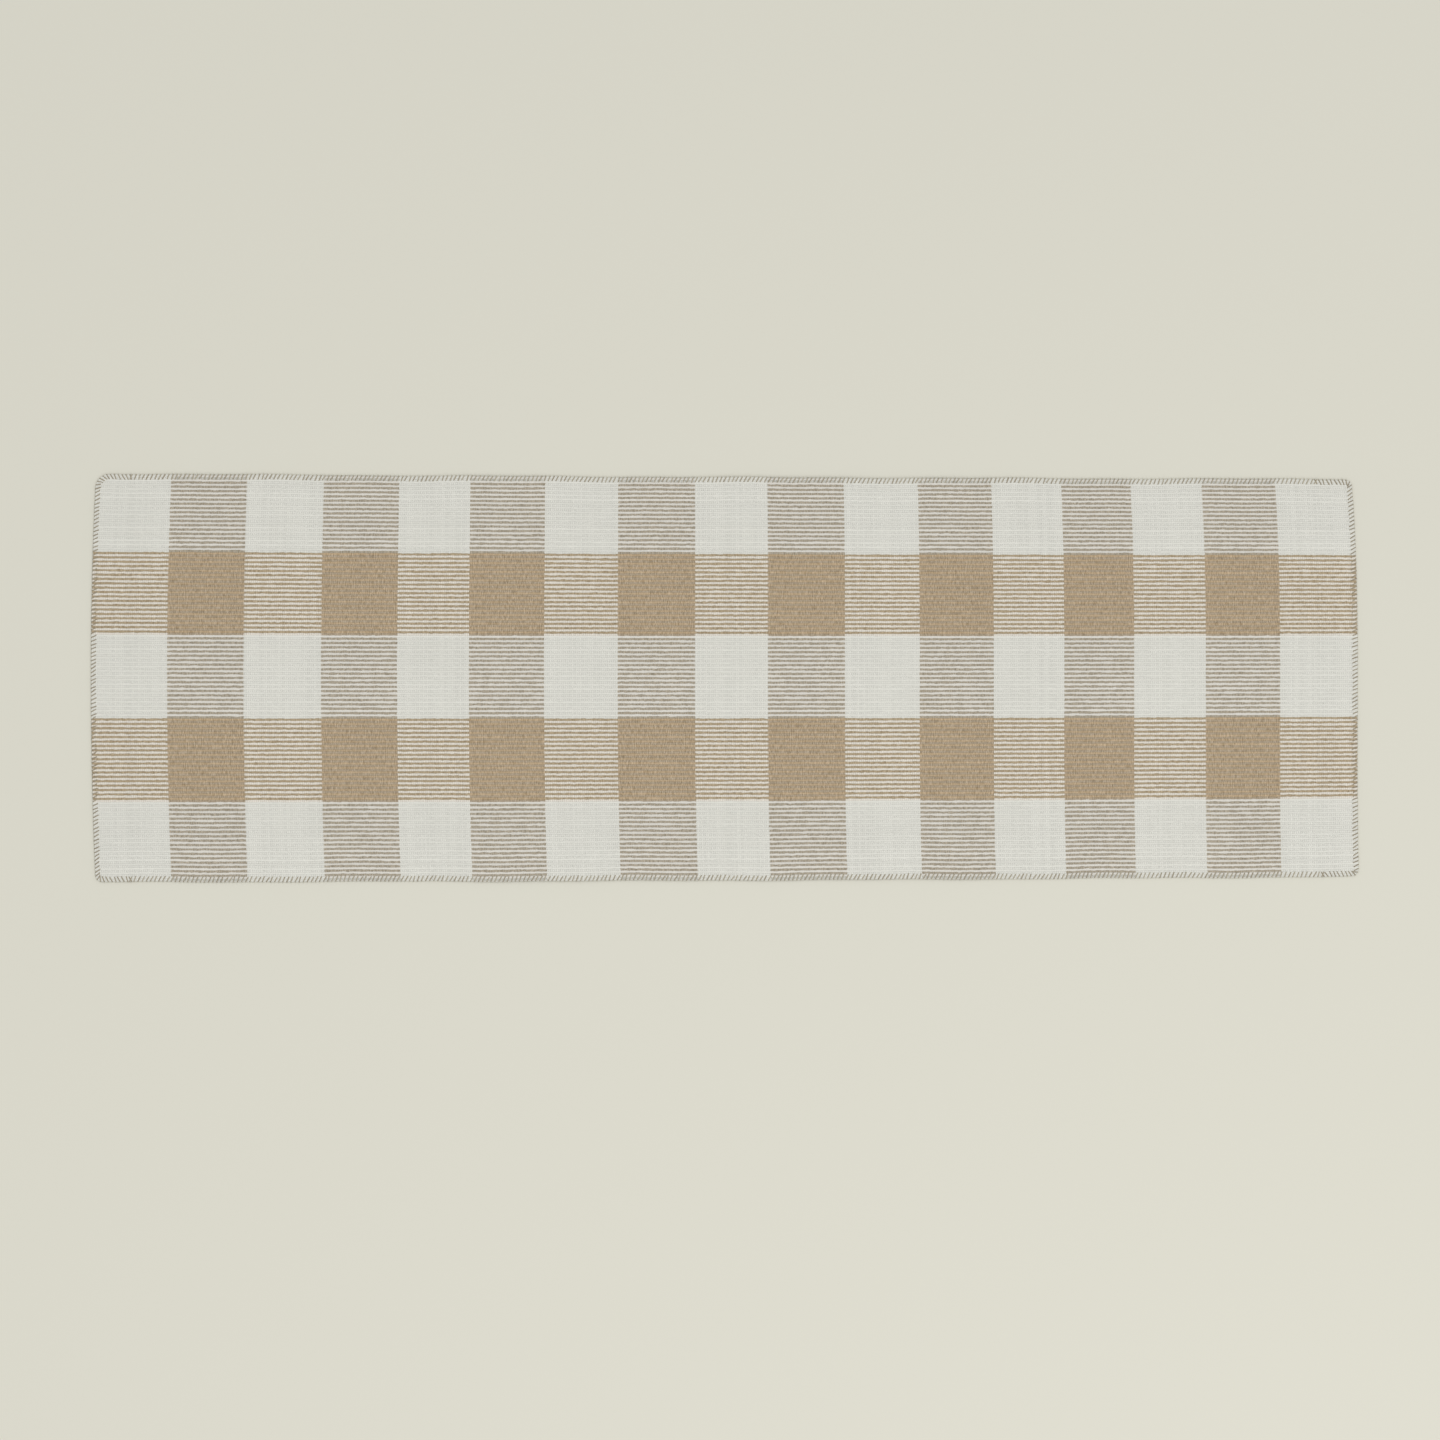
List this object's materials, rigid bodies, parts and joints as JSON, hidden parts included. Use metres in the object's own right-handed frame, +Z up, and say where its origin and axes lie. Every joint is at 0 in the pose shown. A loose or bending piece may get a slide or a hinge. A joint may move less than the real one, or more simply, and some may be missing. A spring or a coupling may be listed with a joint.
{
  "type": "table runner",
  "caption": "Flat woven table runner in a natural and tan check, overcast round its edge, with ends that hang over a table or fold back on top.",
  "frame": {"origin": "middle of the underside, on the surface that the runner lies on", "axes": "+X along the runner, +Y across it, +Z up out of the face of the cloth"},
  "size_m": [1.4, 0.45, 0.002],
  "materials": {
    "natural_yarn": "matt cotton, undyed",
    "tan_yarn": "matt cotton, dyed tan",
    "overcast_thread": "matt twisted thread, taupe"
  },
  "bodies": {
    "centre": {"overcast_back_centre": "overcast_thread", "overcast_front_centre": "overcast_thread", "warp_1_natural_centre": "natural_yarn", "warp_2_tan_centre": "tan_yarn", "warp_3_natural_centre": "natural_yarn", "warp_4_tan_centre": "tan_yarn", "warp_5_natural_centre": "natural_yarn", "weft_03_natural": "natural_yarn", "weft_04_tan": "tan_yarn", "weft_05_natural": "natural_yarn", "weft_06_tan": "tan_yarn", "weft_07_natural": "natural_yarn", "weft_08_tan": "tan_yarn", "weft_09_natural": "natural_yarn", "weft_10_tan": "tan_yarn", "weft_11_natural": "natural_yarn", "weft_12_tan": "tan_yarn", "weft_13_natural": "natural_yarn", "weft_14_tan": "tan_yarn", "weft_15_natural": "natural_yarn"},
    "left_drop": {"overcast_back_left": "overcast_thread", "overcast_corner_back_left": "overcast_thread", "overcast_corner_front_left": "overcast_thread", "overcast_front_left": "overcast_thread", "overcast_left_end": "overcast_thread", "warp_1_natural_left": "natural_yarn", "warp_2_tan_left": "tan_yarn", "warp_3_natural_left": "natural_yarn", "warp_4_tan_left": "tan_yarn", "warp_5_natural_left": "natural_yarn", "weft_01_natural": "natural_yarn", "weft_02_tan": "tan_yarn"},
    "right_drop": {"overcast_back_right": "overcast_thread", "overcast_corner_back_right": "overcast_thread", "overcast_corner_front_right": "overcast_thread", "overcast_front_right": "overcast_thread", "overcast_right_end": "overcast_thread", "warp_1_natural_right": "natural_yarn", "warp_2_tan_right": "tan_yarn", "warp_3_natural_right": "natural_yarn", "warp_4_tan_right": "tan_yarn", "warp_5_natural_right": "natural_yarn", "weft_16_tan": "tan_yarn", "weft_17_natural": "natural_yarn"}
  },
  "joints": [
    {"name": "left_end_fold", "type": "hinge", "parent": "centre", "child": "left_drop", "pos_m": [-0.531, 0, 0.0022], "axis": [0, -1, 0], "range_deg": [-180, 90]},
    {"name": "right_end_fold", "type": "hinge", "parent": "centre", "child": "right_drop", "pos_m": [0.531, 0, 0.0022], "axis": [0, 1, 0], "range_deg": [-180, 90]}
  ]
}
